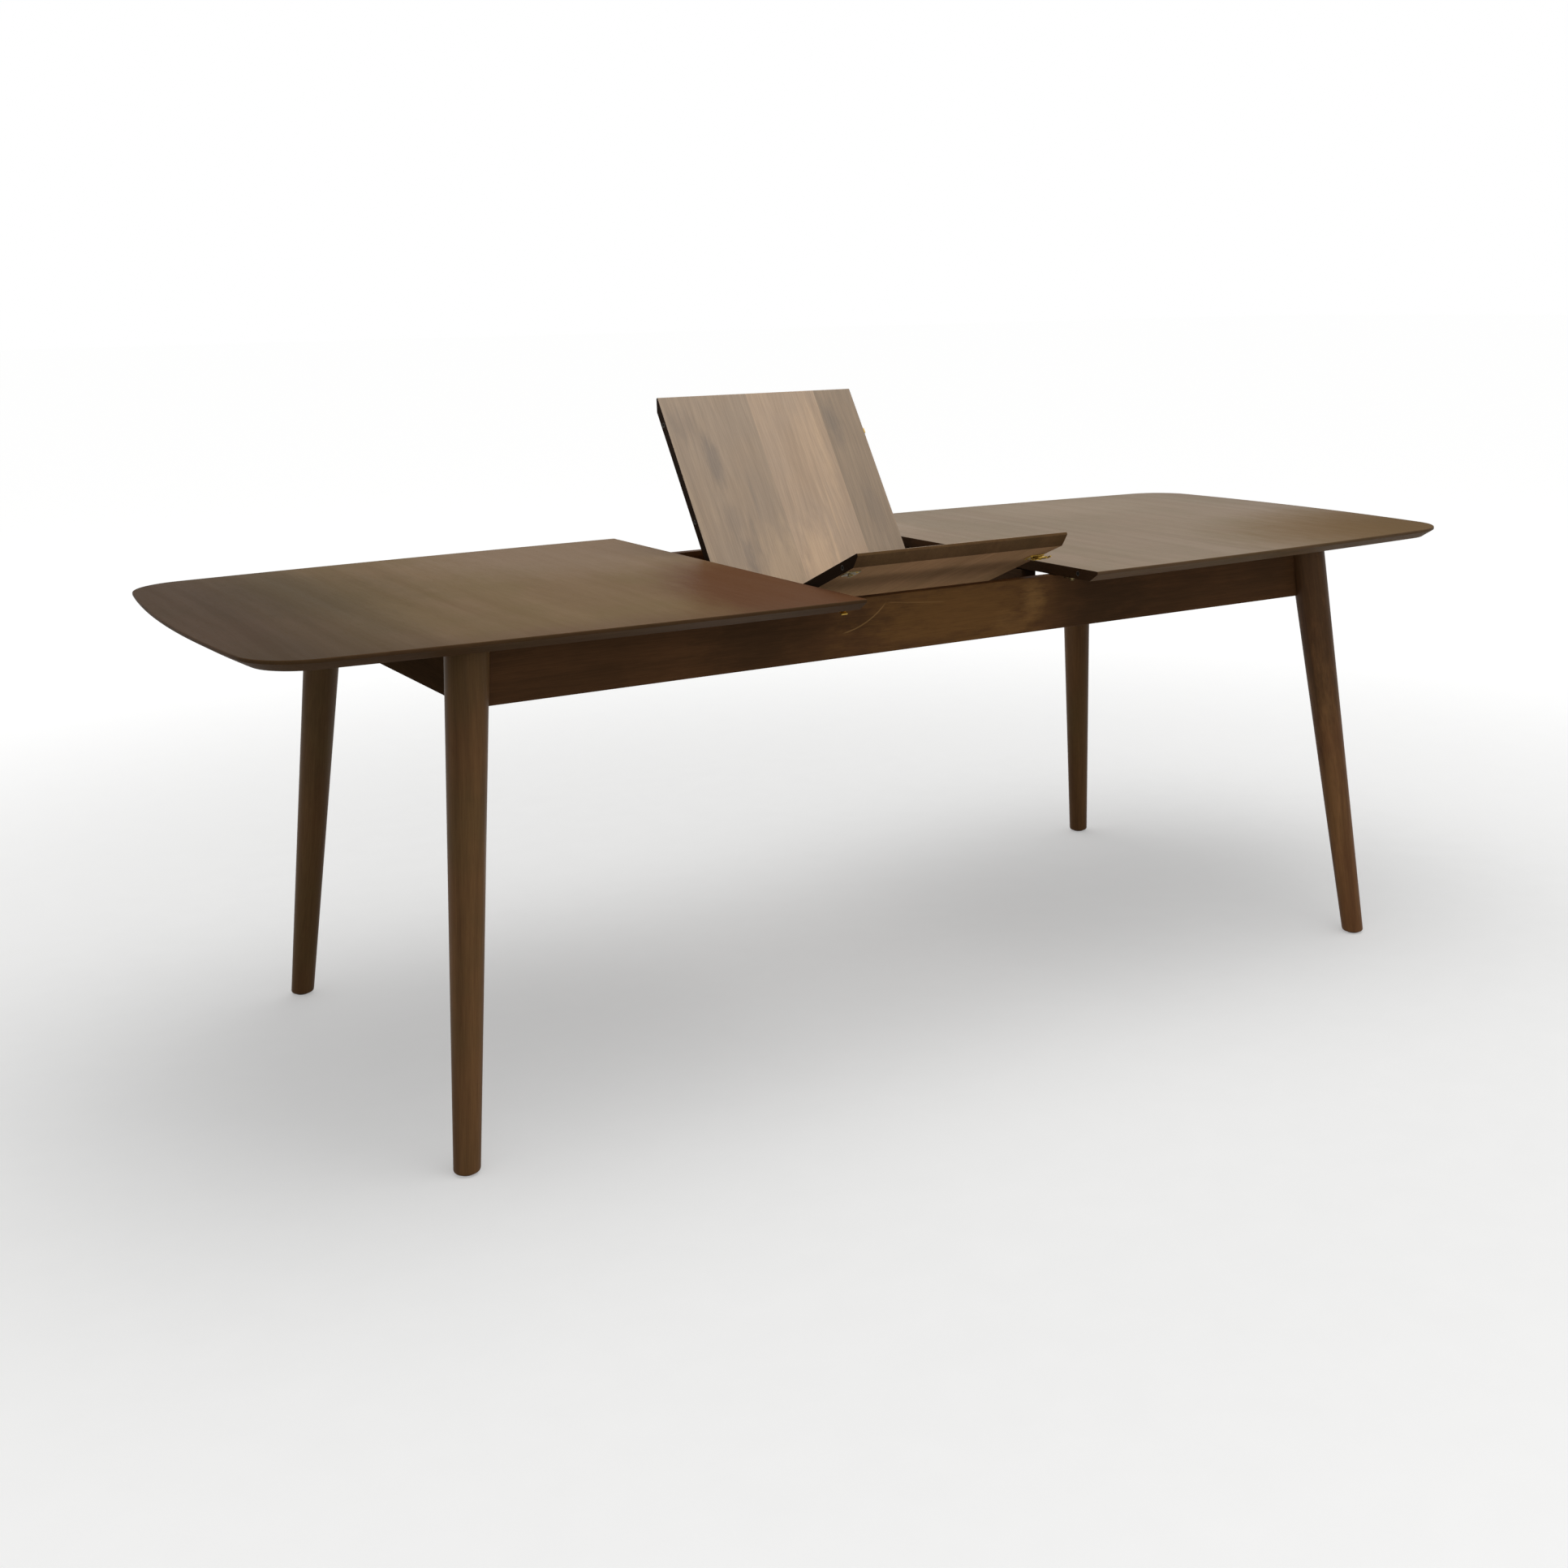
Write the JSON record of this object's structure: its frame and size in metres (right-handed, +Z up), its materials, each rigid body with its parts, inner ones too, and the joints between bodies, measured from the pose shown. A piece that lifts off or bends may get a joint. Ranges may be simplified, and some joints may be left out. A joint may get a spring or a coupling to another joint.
{
  "type": "butterfly leaf table",
  "caption": "Extending dining table on splayed round legs; its halves slide apart and a folding two-board leaf turns up between them and locks flush.",
  "frame": {"origin": "on the floor under the middle of the base", "axes": "+X along the table, the way its halves slide; +Y to the back, away from the side that the folded-up leaf faces; +Z up"},
  "size_m": [2.2598, 0.9, 1.0264],
  "materials": {
    "top_wood": "satin dark walnut stain",
    "leaf_wood": "satin walnut stain",
    "base_wood": "satin dark walnut stain",
    "inner_wood": "thin dark stain",
    "brass": "brass plated, lightly dulled",
    "steel": "zinc plated",
    "glide_plastic": "dark brown nylon",
    "bush_plastic": "dark nylon"
  },
  "bodies": {
    "base": {"leg_front_left": "base_wood", "leg_front_right": "base_wood", "leg_back_left": "base_wood", "leg_back_right": "base_wood", "corner_block_front_left": "inner_wood", "corner_block_front_right": "inner_wood", "corner_block_back_left": "inner_wood", "corner_block_back_right": "inner_wood", "foot_glides": "glide_plastic", "leg_bolts": "steel", "leg_washers": "steel", "leg_nuts": "steel", "side_apron_front": "base_wood", "side_apron_back": "base_wood", "end_apron_left": "base_wood", "end_apron_right": "base_wood", "guide_rail_front": "inner_wood", "guide_rail_back": "inner_wood", "cross_rail_left": "inner_wood", "cross_rail_right": "inner_wood", "pivot_bushes": "bush_plastic", "rail_screws": "steel"},
    "left_half": {"top_left": "top_wood", "runner_left_front": "inner_wood", "runner_left_back": "inner_wood", "runner_screws_left": "steel", "alignment_pins_left": "steel", "lock_plates_left": "brass", "lock_screws_left": "brass", "lock_rivets_left": "brass"},
    "left_front_hook": {"lock_hook_left_front": "brass"},
    "left_back_hook": {"lock_hook_left_back": "brass"},
    "right_half": {"top_right": "top_wood", "runner_right_front": "inner_wood", "runner_right_back": "inner_wood", "runner_screws_right": "steel", "alignment_sockets_right": "steel", "lock_keepers_right": "brass", "keeper_screws_right": "brass"},
    "leaf_back": {"leaf_board_back": "leaf_wood", "pivot_brackets": "steel", "pivot_pins": "steel", "fold_hinge_plates_back": "brass", "fold_hinge_pins": "brass", "alignment_pins_leaf_back": "steel", "alignment_sockets_leaf_back": "steel", "lock_plate_leaf_back": "brass", "lock_rivet_leaf_back": "brass", "lock_keeper_leaf_back": "brass", "leaf_screws_back": "brass"},
    "leaf_front": {"leaf_board_front": "leaf_wood", "fold_hinge_plates_front": "brass", "alignment_pins_leaf_front": "steel", "alignment_sockets_leaf_front": "steel", "lock_plate_leaf_front": "brass", "lock_rivet_leaf_front": "brass", "lock_keeper_leaf_front": "brass", "leaf_screws_front": "brass"},
    "leaf_front_hook": {"lock_hook_leaf_front": "brass"},
    "leaf_back_hook": {"lock_hook_leaf_back": "brass"}
  },
  "joints": [
    {"name": "left_half_slide", "type": "slide", "parent": "base", "child": "left_half", "axis": [1, 0, 0], "range_m": [0, 0.0187]},
    {"name": "right_half_slide", "type": "slide", "parent": "base", "child": "right_half", "axis": [-1, 0, 0], "range_m": [0, 0.0187]},
    {"name": "leaf_turn", "type": "hinge", "parent": "base", "child": "leaf_back", "pos_m": [0, 0.1125, 0.7288], "axis": [1, 0, 0], "range_deg": [-56.4, 69.49]},
    {"name": "leaf_fold", "type": "hinge", "parent": "leaf_back", "child": "leaf_front", "pos_m": [0, 0.02426, 0.65236], "axis": [1, 0, 0], "range_deg": [-96.7, 78.5]},
    {"name": "left_front_hook_swivel", "type": "hinge", "parent": "left_half", "child": "left_front_hook", "pos_m": [-0.236, -0.398, 0.73845], "axis": [0, 0, 1], "range_deg": [0, 90]},
    {"name": "left_back_hook_swivel", "type": "hinge", "parent": "left_half", "child": "left_back_hook", "pos_m": [-0.236, 0.398, 0.73845], "axis": [0, 0, -1], "range_deg": [0, 90]},
    {"name": "leaf_front_hook_swivel", "type": "hinge", "parent": "leaf_front", "child": "leaf_front_hook", "pos_m": [0.185, -0.32687, 0.77099], "axis": [0, 0.3746, 0.9272], "range_deg": [0, 90]},
    {"name": "leaf_back_hook_swivel", "type": "hinge", "parent": "leaf_back", "child": "leaf_back_hook", "pos_m": [0.185, 0.24696, 0.94862], "axis": [0, 0.8329, -0.5534], "range_deg": [0, 90]}
  ],
  "couplings": [
    {"joint": "leaf_fold", "follows": "leaf_turn", "ratio": -1.3901}
  ]
}
